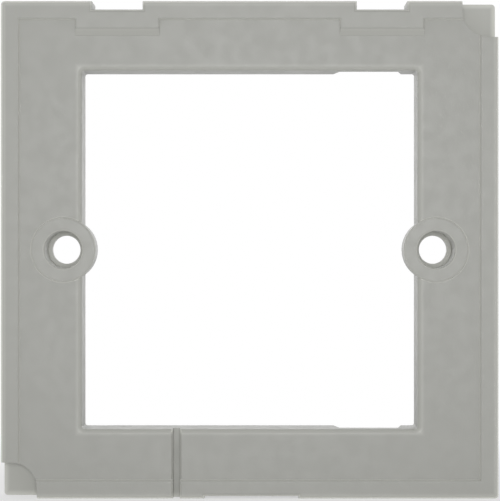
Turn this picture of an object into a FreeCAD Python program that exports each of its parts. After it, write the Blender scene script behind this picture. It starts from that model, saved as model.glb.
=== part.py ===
import FreeCAD, Part
import math
import os

from FreeCAD import Vector

# Flush mount bezel: a square moulded frame that two screws hold over a flush box.
# The frame stands upright, in millimetres: +X is to the right, +Z is up and the front
# faces -Y. The plane y = 0 is the rear edge that lies on the wall, and the origin is
# midway between the two fixing holes. A stand is a distance in front of that plane.

# Outside of the moulding
width = 80.0
height = 80.0
depth = 8.0
outer_corner_radius = 0.6
outer_edge_radius = 0.5

# Raised rim round the flat plate
rim_width = 2.9
rim_height = 0.5
rim_inner_radius = 0.25
rim_root_radius = 0.2
plate_thickness = 2.7

# Opening through the plate, with a skirt that runs back to the wall. The hollow channel
# behind the plate is rounded at its root, by no more than a share of its narrowest floor.
opening_width = 54.0
opening_height = 57.7
opening_corner_radius = 0.4
opening_edge_radius = 0.8
skirt_wall = 1.5
outer_wall = 1.7
draft_angle = 1.0
channel_root_radius = 0.5
channel_root_share = 0.4

# Gaps in the top and bottom of the skirt, wider at the wall than at the plate
gap_centre = 19.3
gap_width = 9.5
gap_flare_angle = 9.5

# Notches in the top edge, with a block of the rim ramped down behind each
notch_centre = 21.3
notch_width = 8.15
notch_depth = 1.35
notch_block_margin = 2.7
notch_block_reach = 4.3
notch_ramp_run = 1.3

# Shallow recess in the middle of the bottom edge
edge_recess_centre = 0.3
edge_recess_width = 15.1
edge_recess_depth = 0.37

# Corner pockets, at the bottom left and the top right
pocket_size = 5.8
pocket_corner_radius = 4.2
pocket_depth = 5.3
pocket_floor = 1.5
pocket_wall = 1.5

# Fixing bosses, level with the middle of the opening
fixing_spacing = 60.0
boss_diameter = 10.5
boss_rise = 0.35
boss_edge_radius = 0.3
boss_draft_angle = 1.5
screw_hole_diameter = 4.6
screw_recess_diameter = 6.0
screw_seat_web = 1.4
recess_lip_radius = 0.35

# Groove across the bottom rail, from the opening out through the rim
groove_centre = -11.8
groove_width = 1.13
groove_depth = 2.1
groove_lip = 0.25

# Overlap that a cutting shape has past the face that it cuts
overcut = 1.0

# Levels and lengths that follow from the sizes above
plate_front = depth - rim_height
plate_back = plate_front - plate_thickness
boss_front = plate_front + boss_rise
half_width = width / 2
half_height = height / 2
face_half_width = half_width - rim_width
face_half_height = half_height - rim_width
opening_half_width = opening_width / 2
opening_half_height = opening_height / 2
wall_taper = plate_back * math.tan(math.radians(draft_angle))
rail_width = min(half_width - opening_half_width, half_height - opening_half_height)
channel_floor_width = rail_width - outer_wall - skirt_wall - 2 * wall_taper
root_radius = min(channel_root_radius, channel_root_share * channel_floor_width)


def slab(x_low, x_high, z_low, z_high, stand_low, stand_high):
    """A plain block between two stands."""
    corner = Vector(x_low, -stand_high, z_low)
    return Part.makeBox(x_high - x_low, stand_high - stand_low, z_high - z_low, corner)


def centred_slab(size_x, size_z, stand_low, stand_high):
    """A plain block centred on the origin, between two stands."""
    return slab(-size_x / 2, size_x / 2, -size_z / 2, size_z / 2, stand_low, stand_high)


def tapered_slab(size_x, size_z, growth, stand_high):
    """A block from the wall to one stand, smaller by a growth on each side at the wall."""
    x, z = size_x / 2, size_z / 2
    far_x, far_z = x + growth, z + growth
    return Part.makeWedge(-far_x, -stand_high, -far_z, -z, -x, far_x, 0, far_z, z, x)


def prism_along_x(x_low, x_high, outline):
    """A solid of constant section along X, from (z, stand) corners."""
    corners = [Vector(x_low, -stand, z) for z, stand in outline]
    face = Part.Face(Part.makePolygon(corners + corners[:1]))
    return face.extrude(Vector(x_high - x_low, 0, 0))


def prism_along_z(z_low, z_high, outline):
    """A solid of constant section along Z, from (x, stand) corners."""
    corners = [Vector(x, -stand, z_low) for x, stand in outline]
    face = Part.Face(Part.makePolygon(corners + corners[:1]))
    return face.extrude(Vector(0, 0, z_high - z_low))


def edges_at(shape, stand):
    """The edges that lie in one plane parallel to the wall."""
    tolerance = 1e-4
    return [edge for edge in shape.Edges
            if abs(edge.BoundBox.YMin + stand) < tolerance
            and abs(edge.BoundBox.YMax + stand) < tolerance]


def corner_edges(shape):
    """The edges that run straight back, square to the wall."""
    return [edge for edge in shape.Edges
            if len(edge.Vertexes) == 2
            and abs(edge.tangentAt(edge.FirstParameter).y) > 0.999]


def within(edges, half_x, half_z):
    """Those edges that lie inside a rectangle about the origin."""
    return [edge for edge in edges
            if max(abs(edge.BoundBox.XMin), abs(edge.BoundBox.XMax)) < half_x
            and max(abs(edge.BoundBox.ZMin), abs(edge.BoundBox.ZMax)) < half_z]


def blank():
    """The outside of the frame, with its edge cut-outs and its rounded front edge."""
    body = centred_slab(width, height, 0, depth)
    body = body.makeFillet(outer_corner_radius, corner_edges(body))
    for side in (-1, 1):
        middle = side * notch_centre
        body = body.cut(slab(middle - notch_width / 2, middle + notch_width / 2,
                             half_height - notch_depth, half_height + overcut,
                             -overcut, depth + overcut))
    body = body.cut(slab(edge_recess_centre - edge_recess_width / 2,
                         edge_recess_centre + edge_recess_width / 2,
                         -half_height - overcut, -half_height + edge_recess_depth,
                         -overcut, depth + overcut))
    return body.makeFillet(outer_edge_radius, edges_at(body, depth))


def notch_block(side):
    """The rim's block behind one notch, with a ramp down to the plate."""
    middle = side * notch_centre
    half = notch_width / 2 + notch_block_margin
    head = half_height - notch_block_reach
    foot = head - notch_ramp_run
    slope = notch_ramp_run / rim_height
    top = depth + 2 * overcut
    outline = [(half_height, plate_front - overcut), (foot - slope * overcut, plate_front - overcut),
               (head + slope * 2 * overcut, top), (half_height, top)]
    return prism_along_x(middle - half, middle + half, outline)


def face_recess():
    """What is sunk inside the rim, down to the plate, with a rounded foot."""
    recess = centred_slab(2 * face_half_width, 2 * face_half_height, plate_front, depth + overcut)
    recess = recess.makeFillet(rim_root_radius, edges_at(recess, plate_front))
    for side in (-1, 1):
        recess = recess.cut(notch_block(side))
    return recess


def opening():
    """The space through the plate and the skirt."""
    space = centred_slab(opening_width, opening_height, -overcut, depth + overcut)
    return space.makeFillet(opening_corner_radius, corner_edges(space))


def channel():
    """The hollow behind the plate, between the outer wall and the skirt."""
    outside = tapered_slab(width - 2 * outer_wall, height - 2 * outer_wall, -wall_taper, plate_back)
    inside = tapered_slab(opening_width + 2 * skirt_wall, opening_height + 2 * skirt_wall,
                          wall_taper, plate_back)
    hollow = outside.cut(inside)
    hollow = hollow.makeFillet(root_radius, edges_at(hollow, plate_back))
    for side in (-1, 1):
        hollow = hollow.cut(notch_backing(side))
        hollow = hollow.cut(pocket_shape(side, pocket_size + pocket_wall,
                                         pocket_corner_radius + pocket_wall, -overcut, depth))
        hollow = hollow.cut(boss(side))
    return hollow


def notch_backing(side):
    """The thickness that the top wall keeps behind one notch."""
    middle = side * notch_centre
    half = notch_width / 2 + outer_wall
    return slab(middle - half, middle + half, half_height - notch_depth - outer_wall,
                half_height, -overcut, depth)


def skirt_gap(side):
    """The gap in the top or the bottom of the skirt, flared towards the wall."""
    half = gap_width / 2
    flare = (plate_back + overcut) * math.tan(math.radians(gap_flare_angle))
    outline = [(gap_centre - half, plate_back), (gap_centre + half, plate_back),
               (gap_centre + half + flare, -overcut), (gap_centre - half - flare, -overcut)]
    inner = opening_half_height - overcut
    outer = opening_half_height + skirt_wall + wall_taper + root_radius
    low, high = sorted((side * inner, side * outer))
    return prism_along_z(low, high, outline)


def pocket_shape(side, size, corner_radius, stand_low, stand_high):
    """A block over the top right or bottom left corner, rounded where it points inwards."""
    x_low, x_high = sorted((side * (half_width - size), side * (half_width + overcut)))
    z_low, z_high = sorted((side * (half_height - size), side * (half_height + overcut)))
    block = slab(x_low, x_high, z_low, z_high, stand_low, stand_high)
    inner_corner = [edge for edge in corner_edges(block)
                    if abs(edge.CenterOfMass.x) < half_width - size / 2
                    and abs(edge.CenterOfMass.z) < half_height - size / 2]
    return block.makeFillet(corner_radius, inner_corner)


def pocket(side):
    """One corner pocket, sunk from the front to its floor."""
    return pocket_shape(side, pocket_size, pocket_corner_radius,
                        depth - pocket_depth, depth + overcut)


def pocket_relief(side):
    """The hollow behind a pocket's floor, which keeps the floor one wall thick."""
    shape = pocket_shape(side, pocket_size, pocket_corner_radius,
                         -overcut, depth - pocket_depth - pocket_floor)
    inside = centred_slab(width - 2 * outer_wall, height - 2 * outer_wall, -overcut, depth)
    return shape.common(inside)


def turned(side, edges):
    """A solid of revolution about one fixing's axis, from a closed half section."""
    face = Part.Face(Part.Wire(edges))
    solid = face.revolve(Vector(0, 0, 0), Vector(0, -1, 0), 360)
    solid.translate(Vector(side * fixing_spacing / 2, 0, 0))
    return solid


def section_lines(points):
    """The straight edges through a row of (radius, stand) points."""
    corners = [Vector(radius, -stand, 0) for radius, stand in points]
    return [Part.LineSegment(start, end).toShape() for start, end in zip(corners, corners[1:])]


def boss(side):
    """One fixing boss, from the wall to a little above the plate, slightly tapered."""
    front = boss_diameter / 2
    back = front - boss_front * math.tan(math.radians(boss_draft_angle))
    section = section_lines([(0, 0), (back, 0), (front, boss_front), (0, boss_front), (0, 0)])
    solid = turned(side, section)
    return solid.makeFillet(boss_edge_radius, edges_at(solid, boss_front))


def screw_recess(side):
    """The screw's way through one boss: recess, flat seat and clearance hole."""
    hole = screw_hole_diameter / 2
    bore = screw_recess_diameter / 2
    lip = recess_lip_radius
    below_lip = [(0, boss_front + overcut), (0, -overcut), (hole, -overcut), (hole, screw_seat_web),
                 (bore, screw_seat_web), (bore, boss_front - lip)]
    above_lip = [(bore + lip, boss_front), (bore + lip, boss_front + overcut),
                 (0, boss_front + overcut)]
    middle = Vector(bore + lip - lip * math.cos(math.pi / 4), 0, 0)
    middle.y = -(boss_front - lip + lip * math.sin(math.pi / 4))
    rounding = Part.Arc(Vector(bore, lip - boss_front, 0), middle, Vector(bore + lip, -boss_front, 0))
    edges = section_lines(below_lip) + [rounding.toShape()] + section_lines(above_lip)
    return turned(side, edges)


def groove():
    """The groove in the bottom rail, with its lips eased at the plate and at the rim."""
    half = groove_width / 2
    floor = plate_front - groove_depth
    slot = slab(groove_centre - half, groove_centre + half, -half_height - overcut,
                -opening_half_height + overcut, floor, depth + overcut)
    plate_lip = groove_flare(plate_front, -face_half_height, -opening_half_height + overcut)
    rim_lip = groove_flare(depth, -half_height - overcut, -face_half_height - rim_inner_radius)
    return slot.fuse([plate_lip, rim_lip])


def groove_flare(stand, z_low, z_high):
    """The eased lips of the groove along one level."""
    half = groove_width / 2
    outline = [(groove_centre - half, stand - groove_lip), (groove_centre + half, stand - groove_lip),
               (groove_centre + half + groove_lip, stand), (groove_centre - half - groove_lip, stand)]
    return prism_along_z(z_low, z_high, outline)


def bezel():
    """The whole frame as one solid."""
    body = blank().cut(face_recess())
    body = body.makeFillet(rim_inner_radius,
                           within(edges_at(body, depth), half_width - rim_width / 2,
                                  half_height - rim_width / 2))
    body = body.cut(opening())
    body = body.makeFillet(opening_edge_radius,
                           within(edges_at(body, plate_front), opening_half_width + overcut / 2,
                                  opening_half_height + overcut / 2))
    body = body.cut(channel())
    for side in (-1, 1):
        body = body.cut(skirt_gap(side))
        body = body.fuse(boss(side))
        body = body.cut(screw_recess(side))
        body = body.cut(pocket(side))
        body = body.cut(pocket_relief(side))
    body = body.cut(groove())
    return body.removeSplitter()


def main():
    """Build the frame and write it out."""
    os.makedirs("parts", exist_ok=True)
    shape = bezel()
    solid = shape.Solids[0]
    box = solid.BoundBox
    print("solids", len(shape.Solids), "valid", solid.isValid(), "faces", len(solid.Faces))
    print("box", [round(v, 3) for v in (box.XMin, box.YMin, box.ZMin, box.XMax, box.YMax, box.ZMax)])
    print("volume mm3", round(solid.Volume, 1))
    solid.exportStep("parts/bezel.step")


main()
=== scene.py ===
import bpy
from bpy.props import FloatProperty, FloatVectorProperty, PointerProperty
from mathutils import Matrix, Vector


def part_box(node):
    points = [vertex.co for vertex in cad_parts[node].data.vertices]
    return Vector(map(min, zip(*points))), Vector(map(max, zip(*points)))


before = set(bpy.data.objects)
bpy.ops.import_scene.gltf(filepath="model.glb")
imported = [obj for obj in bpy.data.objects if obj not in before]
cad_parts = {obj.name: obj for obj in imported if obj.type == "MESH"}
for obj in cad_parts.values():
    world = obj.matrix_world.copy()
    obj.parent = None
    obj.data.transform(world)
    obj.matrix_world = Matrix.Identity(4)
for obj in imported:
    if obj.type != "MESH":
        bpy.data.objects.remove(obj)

bl_info = {
    "name": "Flush Mount Bezel",
    "version": (1, 0, 0),
    "blender": (4, 5, 0),
    "location": "View3D > Sidebar > Bezel",
    "description": "Finishes a moulded flush mount bezel and sets its stage",
    "category": "Object",
}

# The frame stands upright with its front towards -Y and its rear edge at y = 0.
NODE = "bezel"
LOW, HIGH = (Vector(corner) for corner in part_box(NODE))
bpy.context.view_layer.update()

MILLIMETRE = 0.001
RIM_TOP = LOW.y

# Depths in millimetres behind the top of the rim. The groove's is just past its floor.
RAISED_DEPTH = 0.16
PLATE_DEPTH = 0.5
GROOVE_DEPTH = 2.7

# Sizes and places on the moulding, in millimetres. The frame gives the outside.
OUTER_HALF = HIGH.x / MILLIMETRE
OPENING_HALF_WIDTH = 27.0
OPENING_HALF_HEIGHT = 28.85
OPENING_ROUNDING = 0.8
NOTCH_BLOCK_REACH = 4.3
POCKET_SIZE = 5.8
GROOVE_X = -11.8
GROOVE_REACH = 0.87

# The screw recesses and their collars, in millimetres
FIXING_X = 30.0
RECESS_RADIUS = 3.35
COLLAR_TOP_RADIUS = 4.95
COLLAR_RADIUS = 5.25
COLLAR_FOOT_RADIUS = 5.4

# Widths over which the painted light and highlights fade, in millimetres
HIGHLIGHT_WIDTH = 1.0
HIGHLIGHT_REACH = 1.3
SOFT_FADE = 0.2
FINE_FADE = 0.1
SHARP_FADE = 0.04

# How much of the painted light, which lifts the shade, the ramps and the open groove and
# pockets have
RAMP_SHARE = 0.4
OPEN_SHARE = 0.5

# The middle of a noise, and the levels that most of it lies between
NOISE_MIDDLE = 0.5
NOISE_LOW = 0.3
NOISE_HIGH = 0.7

# The plastic: its refraction, its grain's patches and its slow and fine changes of tone
PLASTIC_IOR = 1.49
PATCH_SCALE = 0.11
SHEEN_CHANGE = 0.035
SLOW_TONE_SCALE = 28.0
FINE_TONE_SCALE = 420.0
SLOW_TONE_SHARE = 0.7
TONE_CHANGE = 0.05

# The photograph's frame in pixels, and the scale that it shows at the rim's top
PHOTO_WIDTH = 500
PHOTO_HEIGHT = 501
PIXELS_PER_MM = 6.225
SENSOR_MM = 36.0

# Where the camera looks, in millimetres from the middle of the frame, to the right and up
AIM_X_MM = 0.05
AIM_Z_MM = -0.12

# How much of the floor near the frame shows its shadow to the camera, and where that ends
SHADOW_SHARE = 0.45
SHADOW_NEAR = 0.05
SHADOW_FAR = 0.13

# The soft lights, in metres
KEY_PLACE = (0.0, -0.5, 0.02)
KEY_SIZE = 0.12
REAR_PLACE = (0.0, 0.5, 0.1)
REAR_SIZE = 1.0


class BezelFinish(bpy.types.PropertyGroup):
    """The colour and surface of the moulded plastic, and the light and highlights painted into
    its colour.
    """
    colour: FloatVectorProperty(
        name="Plastic Colour", description="Colour of the moulded plastic",
        subtype="COLOR", size=3, min=0.0, max=1.0, default=(0.385, 0.387, 0.359))
    roughness: FloatProperty(
        name="Roughness", description="How dull the moulded surface is",
        subtype="FACTOR", min=0.0, max=1.0, default=0.42)
    grain: FloatProperty(
        name="Grain Size", description="Width of one pit of the mould's texture",
        subtype="DISTANCE", unit="LENGTH", min=0.00001, default=0.00022)
    grain_depth: FloatProperty(
        name="Grain Depth", description="Depth of the mould's texture",
        subtype="DISTANCE", unit="LENGTH", min=0.0, default=0.000008)
    # Painted highlight: this setting makes the outer edges and the opening's rounding paler
    # where their roundings catch light.
    edge_highlight: FloatProperty(
        name="Painted Edge Light", description="How much paler the rubbed edges are",
        subtype="FACTOR", min=0.0, max=0.5, default=0.36)
    # Painted light: the tops of rim and collars are made paler, standing in for the shade that
    # the rim and collars cast on the plate.
    rim_top_light: FloatProperty(
        name="Rim Top Light", description="How much paler the tops of rim and collars are",
        subtype="FACTOR", min=0.0, max=0.5, default=0.03)
    # Painted light: the low steps of rim and collars are made paler, lifting the shade in their
    # concave corners.
    step_light: FloatProperty(
        name="Step Light", description="How much paler the low steps of rim and collars are",
        subtype="FACTOR", min=0.0, max=0.6, default=0.46)
    # Painted light: the screw recesses, and in part the groove and pockets, are made paler,
    # lifting the shade inside them.
    recess_light: FloatProperty(
        name="Recess Light", description="How much paler the clean screw recesses are",
        subtype="FACTOR", min=0.0, max=0.5, default=0.44)


class BezelStage(bpy.types.PropertyGroup):
    """The floor, the light and the camera's distance."""
    floor_colour: FloatVectorProperty(
        name="Floor Colour", description="Colour of the pale floor",
        subtype="COLOR", size=3, min=0.0, max=1.0, default=(0.92, 0.92, 0.92))
    floor_reach: FloatProperty(
        name="Floor Reach", description="How far the floor goes on each side",
        subtype="DISTANCE", unit="LENGTH", min=0.1, default=3.0)
    camera_distance: FloatProperty(
        name="Camera Distance", description="From the camera to the top of the rim",
        subtype="DISTANCE", unit="LENGTH", min=0.05, default=0.34)
    sky_strength: FloatProperty(
        name="Sky Strength", description="Even light from all round",
        min=0.0, default=0.42)
    key_power: FloatProperty(
        name="Key Power", description="Power of the soft light in front",
        unit="POWER", min=0.0, default=0.79)
    rear_power: FloatProperty(
        name="Rear Power", description="Power of the broad light behind",
        unit="POWER", min=0.0, default=1.6)


def new_group(name, inputs, outputs):
    """An empty shader node group with named sockets, and its two end nodes."""
    group = bpy.data.node_groups.new(name, "ShaderNodeTree")
    for socket_name, kind, default in inputs:
        socket = group.interface.new_socket(socket_name, in_out="INPUT", socket_type=kind)
        if default is not None:
            socket.default_value = default
    for socket_name, kind in outputs:
        group.interface.new_socket(socket_name, in_out="OUTPUT", socket_type=kind)
    return group, group.nodes.new("NodeGroupInput"), group.nodes.new("NodeGroupOutput")


def math_node(tree, operation, first, second=None):
    """One Math node; each operand is a socket to link or a number to set."""
    node = tree.nodes.new("ShaderNodeMath")
    node.operation = operation
    for socket, operand in zip(node.inputs, (first, second)):
        if isinstance(operand, bpy.types.NodeSocket):
            tree.links.new(operand, socket)
        elif operand is not None:
            socket.default_value = operand
    return node.outputs["Value"]


def ramp_node(tree, value, low, high, to_low=0.0, to_high=1.0):
    """A smooth step of a value from one level to another."""
    node = tree.nodes.new("ShaderNodeMapRange")
    node.interpolation_type = "SMOOTHSTEP"
    tree.links.new(value, node.inputs["Value"])
    node.inputs["From Min"].default_value = low
    node.inputs["From Max"].default_value = high
    node.inputs["To Min"].default_value = to_low
    node.inputs["To Max"].default_value = to_high
    return node.outputs["Result"]


def noise_node(tree, vector, scale, detail=2.0, roughness=0.5):
    """A three-dimensional noise whose scale is a number of periods to the metre."""
    node = tree.nodes.new("ShaderNodeTexNoise")
    node.noise_dimensions = "3D"
    tree.links.new(vector, node.inputs["Vector"])
    if isinstance(scale, bpy.types.NodeSocket):
        tree.links.new(scale, node.inputs["Scale"])
    else:
        node.inputs["Scale"].default_value = scale
    node.inputs["Detail"].default_value = detail
    node.inputs["Roughness"].default_value = roughness
    return node.outputs["Fac"]


def grain_group():
    """The fine etched grain of a steel mould: soft pits, and patches more or less dull.

    The noise of the pits has one period to the grain's size. The patches are broader.
    """
    group, start, end = new_group(
        "etched_grain",
        [("Vector", "NodeSocketVector", None), ("Size", "NodeSocketFloat", 0.0002)],
        [("Height", "NodeSocketFloat"), ("Sheen", "NodeSocketFloat")])
    scale = math_node(group, "DIVIDE", 1.0, start.outputs["Size"])
    pits = noise_node(group, start.outputs["Vector"], scale, detail=3.0, roughness=0.6)
    group.links.new(pits, end.inputs["Height"])
    patch_scale = math_node(group, "MULTIPLY", scale, PATCH_SCALE)
    patches = noise_node(group, start.outputs["Vector"], patch_scale, detail=2.0)
    sheen = ramp_node(group, patches, NOISE_LOW, NOISE_HIGH, -SHEEN_CHANGE, SHEEN_CHANGE)
    group.links.new(sheen, end.inputs["Sheen"])
    return group


def tone_group():
    """Slow changes of tone where the melt flowed and cooled, as a factor on the colour.

    The factor is one, plus the amount times how far two mixed noises are from their middle.
    """
    group, start, end = new_group(
        "flow_tone",
        [("Vector", "NodeSocketVector", None), ("Amount", "NodeSocketFloat", 0.02)],
        [("Factor", "NodeSocketFloat")])
    slow = noise_node(group, start.outputs["Vector"], SLOW_TONE_SCALE, detail=1.0)
    fine = noise_node(group, start.outputs["Vector"], FINE_TONE_SCALE, detail=3.0)
    both = math_node(group, "ADD", math_node(group, "MULTIPLY", slow, SLOW_TONE_SHARE),
                     math_node(group, "MULTIPLY", fine, 1.0 - SLOW_TONE_SHARE))
    centred = math_node(group, "SUBTRACT", both, NOISE_MIDDLE)
    change = math_node(group, "MULTIPLY", centred, start.outputs["Amount"])
    group.links.new(math_node(group, "ADD", change, 1.0), end.inputs["Factor"])
    return group


def product_node(tree, first, *others):
    """The product of several values."""
    for other in others:
        first = math_node(tree, "MULTIPLY", first, other)
    return first


def painted_highlight_mask(tree, x, z, reach, depth):
    """The painted highlight on the outer edge, and on the rounding of the opening with the
    plate next to it.

    The outer band is where the greater of |x| and |z| comes near the outside. The inner
    band fades with the greater of the two distances past the opening's edge, and keeps to
    the depths of the plate and the rounding. The mask is the larger of the two.
    """
    outer = ramp_node(tree, reach, OUTER_HALF - HIGHLIGHT_WIDTH, OUTER_HALF - FINE_FADE)
    gap = math_node(tree, "MAXIMUM", math_node(tree, "SUBTRACT", x, OPENING_HALF_WIDTH),
                    math_node(tree, "SUBTRACT", z, OPENING_HALF_HEIGHT))
    inner = ramp_node(tree, gap, FINE_FADE, HIGHLIGHT_REACH, 1.0, 0.0)
    under_collars = ramp_node(tree, depth, PLATE_DEPTH - SOFT_FADE, PLATE_DEPTH)
    before_walls = ramp_node(tree, depth, PLATE_DEPTH + OPENING_ROUNDING,
                             PLATE_DEPTH + 2 * OPENING_ROUNDING, 1.0, 0.0)
    inner = product_node(tree, inner, under_collars, before_walls)
    return math_node(tree, "MAXIMUM", outer, inner)


def step_mask(tree, z, reach, radius, depth):
    """Painted light on the rise from the plate to the rim and its ramps, and on the ring round
    each collar, lifting the shade in these concave steps.

    The rise is where the depth lies between the rim's top and the plate, from the outside
    in to the edge of the notch blocks, and at a lower share above and below the opening,
    where the blocks' ramps are. The ring is where the radius lies between the collar's top
    and its foot. The mask is the larger of the two.
    """
    above_plate = ramp_node(tree, depth, PLATE_DEPTH - SHARP_FADE, PLATE_DEPTH, 1.0, 0.0)
    below_rim = ramp_node(tree, depth, SHARP_FADE / 2, FINE_FADE)
    blocks_inside = OUTER_HALF - NOTCH_BLOCK_REACH
    near_rim = ramp_node(tree, reach, blocks_inside, blocks_inside + SOFT_FADE)
    near_ramps = product_node(
        tree, math_node(tree, "GREATER_THAN", z, OPENING_HALF_HEIGHT), RAMP_SHARE)
    near_either = math_node(tree, "MAXIMUM", near_rim, near_ramps)
    rise = product_node(tree, above_plate, below_rim, near_either)
    ring = product_node(
        tree,
        ramp_node(tree, radius, COLLAR_TOP_RADIUS, COLLAR_TOP_RADIUS + SOFT_FADE),
        ramp_node(tree, radius, COLLAR_RADIUS, COLLAR_FOOT_RADIUS, 1.0, 0.0),
        math_node(tree, "LESS_THAN", depth, PLATE_DEPTH + FINE_FADE / 2))
    return math_node(tree, "MAXIMUM", rise, ring)


def recess_mask(tree, place, x, z, radius, depth):
    """Painted light that lifts the shade inside the screw recesses, and in part in the groove
    and the corner pockets.

    A recess is what lies inside its radius. The pockets are where both |x| and |z| are
    past the pocket's edge, at the two corners where x times z is above zero. The groove is
    a narrow band of x below the opening. Both count only from the plate down.
    """
    screw = ramp_node(tree, radius, RECESS_RADIUS - SOFT_FADE, RECESS_RADIUS, 1.0, 0.0)
    sunk = ramp_node(tree, depth, PLATE_DEPTH, PLATE_DEPTH + FINE_FADE)
    same_sign = math_node(
        tree, "GREATER_THAN", product_node(tree, place.outputs["X"], place.outputs["Z"]), 0.0)
    pocket_edge = OUTER_HALF - POCKET_SIZE
    corner = ramp_node(tree, math_node(tree, "MINIMUM", x, z),
                       pocket_edge - 2 * SOFT_FADE, pocket_edge)
    pocket = product_node(tree, corner, same_sign)
    from_groove = math_node(tree, "ABSOLUTE", math_node(
        tree, "SUBTRACT", place.outputs["X"], GROOVE_X))
    groove = product_node(
        tree,
        math_node(tree, "LESS_THAN", from_groove, GROOVE_REACH),
        math_node(tree, "LESS_THAN", place.outputs["Z"], -OPENING_HALF_HEIGHT),
        math_node(tree, "LESS_THAN", depth, GROOVE_DEPTH))
    lit_hollows = product_node(tree, sunk, math_node(tree, "MAXIMUM", pocket, groove), OPEN_SHARE)
    return math_node(tree, "MAXIMUM", screw, lit_hollows)


def edges_group():
    """Where light is painted on the moulding: highlights on the edges, paler raised tops, and
    light in the low steps and recesses that lifts their shade.

    All is worked out in millimetres: |x| and |z|, the greater of them, the radius about
    the nearer fixing, and the depth behind the rim's top. The raised tops are what lies no
    deeper than the tops of the collars.
    """
    group, start, end = new_group(
        "moulding_edges", [("Vector", "NodeSocketVector", None)],
        [("Highlight", "NodeSocketFloat"), ("Raised", "NodeSocketFloat"),
         ("Step", "NodeSocketFloat"), ("Recess", "NodeSocketFloat")])
    scaled = group.nodes.new("ShaderNodeVectorMath")
    scaled.operation = "SCALE"
    scaled.inputs["Scale"].default_value = 1 / MILLIMETRE
    group.links.new(start.outputs["Vector"], scaled.inputs[0])
    place = group.nodes.new("ShaderNodeSeparateXYZ")
    group.links.new(scaled.outputs["Vector"], place.inputs["Vector"])

    x = math_node(group, "ABSOLUTE", place.outputs["X"])
    z = math_node(group, "ABSOLUTE", place.outputs["Z"])
    depth = math_node(group, "SUBTRACT", place.outputs["Y"], RIM_TOP / MILLIMETRE)
    reach = math_node(group, "MAXIMUM", x, z)
    aside = math_node(group, "SUBTRACT", x, FIXING_X)
    radius = math_node(group, "SQRT", math_node(
        group, "ADD", product_node(group, aside, aside), product_node(group, z, z)))

    # Painted light on the raised tops of rim and collars, standing in for the shade on the
    # plate below them.
    raised = ramp_node(group, depth, RAISED_DEPTH, RAISED_DEPTH + SHARP_FADE, 1.0, 0.0)
    group.links.new(painted_highlight_mask(group, x, z, reach, depth), end.inputs["Highlight"])
    group.links.new(raised, end.inputs["Raised"])
    group.links.new(step_mask(group, z, reach, radius, depth), end.inputs["Step"])
    group.links.new(recess_mask(group, place, x, z, radius, depth), end.inputs["Recess"])
    return group


def placed_group(tree, group, place):
    """A node of a group in a material, reading a place."""
    node = tree.nodes.new("ShaderNodeGroup")
    node.node_tree = group
    tree.links.new(place, node.inputs["Vector"])
    return node


def moulded_plastic(finish):
    """The grey plastic: its tone and etched grain, with painted highlights on the edges and
    painted light in the steps and recesses.
    """
    material = bpy.data.materials.new("moulded_grey")
    material.use_nodes = True
    tree = material.node_tree
    tree.nodes.clear()
    output = tree.nodes.new("ShaderNodeOutputMaterial")
    shader = tree.nodes.new("ShaderNodeBsdfPrincipled")
    shader.inputs["IOR"].default_value = PLASTIC_IOR
    tree.links.new(shader.outputs["BSDF"], output.inputs["Surface"])
    place = tree.nodes.new("ShaderNodeTexCoord").outputs["Object"]

    tone = placed_group(tree, tone_group(), place)
    tone.inputs["Amount"].default_value = TONE_CHANGE
    grain = placed_group(tree, grain_group(), place)
    grain.inputs["Size"].default_value = finish.grain
    edges = placed_group(tree, edges_group(), place)

    factor = tone.outputs["Factor"]
    # Each mask paints light into the colour: highlights on the edges, paler raised tops, and
    # lifted shade in the steps and recesses.
    for mask, amount in (("Highlight", finish.edge_highlight), ("Raised", finish.rim_top_light),
                         ("Step", finish.step_light), ("Recess", finish.recess_light)):
        lift = math_node(tree, "ADD", product_node(tree, edges.outputs[mask], amount), 1.0)
        factor = product_node(tree, factor, lift)

    tint = tree.nodes.new("ShaderNodeVectorMath")
    tint.operation = "SCALE"
    tint.inputs[0].default_value = finish.colour
    tree.links.new(factor, tint.inputs["Scale"])
    tree.links.new(tint.outputs["Vector"], shader.inputs["Base Color"])

    dull = math_node(tree, "ADD", grain.outputs["Sheen"], finish.roughness)
    tree.links.new(dull, shader.inputs["Roughness"])
    bump = tree.nodes.new("ShaderNodeBump")
    bump.inputs["Strength"].default_value = 1.0
    bump.inputs["Distance"].default_value = finish.grain_depth
    tree.links.new(grain.outputs["Height"], bump.inputs["Height"])
    tree.links.new(bump.outputs["Normal"], shader.inputs["Normal"])
    return material


def floor_material(stage):
    """Pale matt floor that keeps the shadow near the frame and turns white further off.

    Gloss sees it white. The camera sees a share of white that rises with the distance from
    the middle of the frame, from what the shadow leaves near it to all of it.
    """
    material = bpy.data.materials.new("pale_floor")
    material.use_nodes = True
    tree = material.node_tree
    tree.nodes.clear()
    output = tree.nodes.new("ShaderNodeOutputMaterial")
    matt = tree.nodes.new("ShaderNodeBsdfDiffuse")
    matt.inputs["Color"].default_value = (*stage.floor_colour, 1.0)
    white = tree.nodes.new("ShaderNodeEmission")
    mix = tree.nodes.new("ShaderNodeMixShader")
    place = tree.nodes.new("ShaderNodeTexCoord").outputs["Object"]
    length = tree.nodes.new("ShaderNodeVectorMath")
    length.operation = "LENGTH"
    tree.links.new(place, length.inputs[0])
    far = ramp_node(tree, length.outputs["Value"], SHADOW_NEAR, SHADOW_FAR,
                    1.0 - SHADOW_SHARE, 1.0)
    path = tree.nodes.new("ShaderNodeLightPath")
    seen = math_node(tree, "MAXIMUM", path.outputs["Is Glossy Ray"],
                     math_node(tree, "MULTIPLY", far, path.outputs["Is Camera Ray"]))
    tree.links.new(seen, mix.inputs["Fac"])
    tree.links.new(matt.outputs["BSDF"], mix.inputs[1])
    tree.links.new(white.outputs["Emission"], mix.inputs[2])
    tree.links.new(mix.outputs["Shader"], output.inputs["Surface"])
    return material


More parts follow.
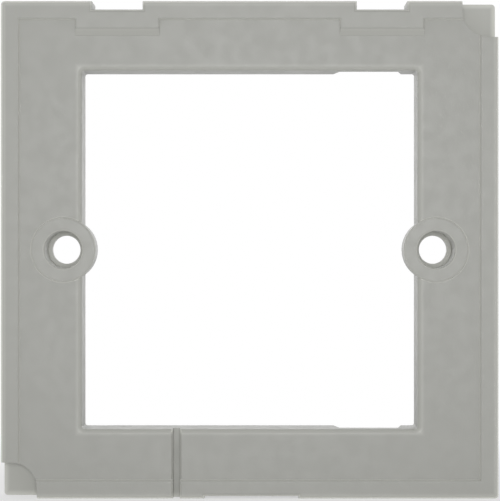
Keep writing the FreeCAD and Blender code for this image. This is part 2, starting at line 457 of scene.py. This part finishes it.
def make_floor(stage):
    """The floor under the frame's bottom edge."""
    reach = stage.floor_reach
    corners = [(-reach, -reach), (reach, -reach), (reach, reach), (-reach, reach)]
    mesh = bpy.data.meshes.new("floor")
    mesh.from_pydata([(x, y, LOW.z) for x, y in corners], [], [(0, 1, 2, 3)])
    mesh.materials.append(floor_material(stage))
    floor = bpy.data.objects.new("floor", mesh)
    bpy.context.scene.collection.objects.link(floor)


def make_sky(stage):
    """An even pale sky that the camera and gloss see as white."""
    world = bpy.data.worlds.new("studio")
    bpy.context.scene.world = world
    world.use_nodes = True
    tree = world.node_tree
    tree.nodes.clear()
    output = tree.nodes.new("ShaderNodeOutputWorld")
    light = tree.nodes.new("ShaderNodeBackground")
    light.inputs["Strength"].default_value = stage.sky_strength
    white = tree.nodes.new("ShaderNodeBackground")
    for background in (light, white):
        background.inputs["Color"].default_value = (1.0, 1.0, 1.0, 1.0)
    mix = tree.nodes.new("ShaderNodeMixShader")
    path = tree.nodes.new("ShaderNodeLightPath")
    seen = math_node(tree, "MAXIMUM", path.outputs["Is Camera Ray"],
                     path.outputs["Is Glossy Ray"])
    tree.links.new(seen, mix.inputs["Fac"])
    tree.links.new(light.outputs["Background"], mix.inputs[1])
    tree.links.new(white.outputs["Background"], mix.inputs[2])
    tree.links.new(mix.outputs["Shader"], output.inputs["Surface"])


def area_light(name, place, size, power):
    """A square soft light that looks at the middle of the frame."""
    lamp = bpy.data.lights.new(name, "AREA")
    lamp.shape = "SQUARE"
    lamp.size = size
    lamp.energy = power
    light = bpy.data.objects.new(name, lamp)
    light.location = place
    towards = Vector((0.0, 0.0, 0.0)) - Vector(place)
    light.rotation_euler = towards.to_track_quat("-Z", "Y").to_euler()
    bpy.context.scene.collection.objects.link(light)


def make_lights(stage):
    """The soft key light in front, and the broad light behind."""
    area_light("key", KEY_PLACE, KEY_SIZE, stage.key_power)
    area_light("rear", REAR_PLACE, REAR_SIZE, stage.rear_power)


def make_camera(stage):
    """The camera in front of the frame, at the distance that the photograph shows.

    The lens is the sensor's width times the camera's distance over the width that the
    longer side of the photograph shows at the rim's top.
    """
    data = bpy.data.cameras.new("camera")
    data.sensor_width = SENSOR_MM
    distance_mm = stage.camera_distance / MILLIMETRE
    data.lens = SENSOR_MM * PIXELS_PER_MM * distance_mm / max(PHOTO_WIDTH, PHOTO_HEIGHT)
    camera = bpy.data.objects.new("camera", data)
    camera.location = (AIM_X_MM * MILLIMETRE, RIM_TOP - stage.camera_distance,
                       AIM_Z_MM * MILLIMETRE)
    camera.rotation_euler = Vector((0.0, 1.0, 0.0)).to_track_quat("-Z", "Y").to_euler()
    bpy.context.scene.collection.objects.link(camera)
    bpy.context.scene.camera = camera


class BEZEL_OT_finish_frame(bpy.types.Operator):
    """Give the moulded frame its grey plastic finish."""
    bl_idname = "bezel.finish_frame"
    bl_label = "Finish Frame"

    def execute(self, context):
        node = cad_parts[NODE]
        node.data.materials.clear()
        node.data.materials.append(moulded_plastic(context.scene.bezel_finish))
        return {"FINISHED"}


class BEZEL_OT_set_stage(bpy.types.Operator):
    """Set the floor, the sky, the lights and the camera."""
    bl_idname = "bezel.set_stage"
    bl_label = "Set Stage"

    def execute(self, context):
        stage = context.scene.bezel_stage
        make_floor(stage)
        make_sky(stage)
        make_lights(stage)
        make_camera(stage)
        context.scene.view_settings.view_transform = "Standard"
        return {"FINISHED"}


class BEZEL_PT_panel(bpy.types.Panel):
    """The bezel's settings and its operators."""
    bl_idname = "BEZEL_PT_panel"
    bl_label = "Bezel"
    bl_space_type = "VIEW_3D"
    bl_region_type = "UI"
    bl_category = "Bezel"

    def draw(self, context):
        for settings, operator in ((context.scene.bezel_finish, BEZEL_OT_finish_frame),
                                   (context.scene.bezel_stage, BEZEL_OT_set_stage)):
            box = self.layout.box()
            for name in settings.__annotations__:
                box.prop(settings, name)
            box.operator(operator.bl_idname)


CLASSES = (BezelFinish, BezelStage, BEZEL_OT_finish_frame, BEZEL_OT_set_stage, BEZEL_PT_panel)


def register():
    """Register the classes and hang the settings on the scene."""
    for cls in CLASSES:
        bpy.utils.register_class(cls)
    bpy.types.Scene.bezel_finish = PointerProperty(type=BezelFinish)
    bpy.types.Scene.bezel_stage = PointerProperty(type=BezelStage)


def unregister():
    """Take the settings off the scene and unregister the classes."""
    del bpy.types.Scene.bezel_stage
    del bpy.types.Scene.bezel_finish
    for cls in reversed(CLASSES):
        bpy.utils.unregister_class(cls)


def main():
    """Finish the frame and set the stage."""
    register()
    bpy.ops.bezel.finish_frame()
    bpy.ops.bezel.set_stage()


if __name__ == "__main__":
    main()
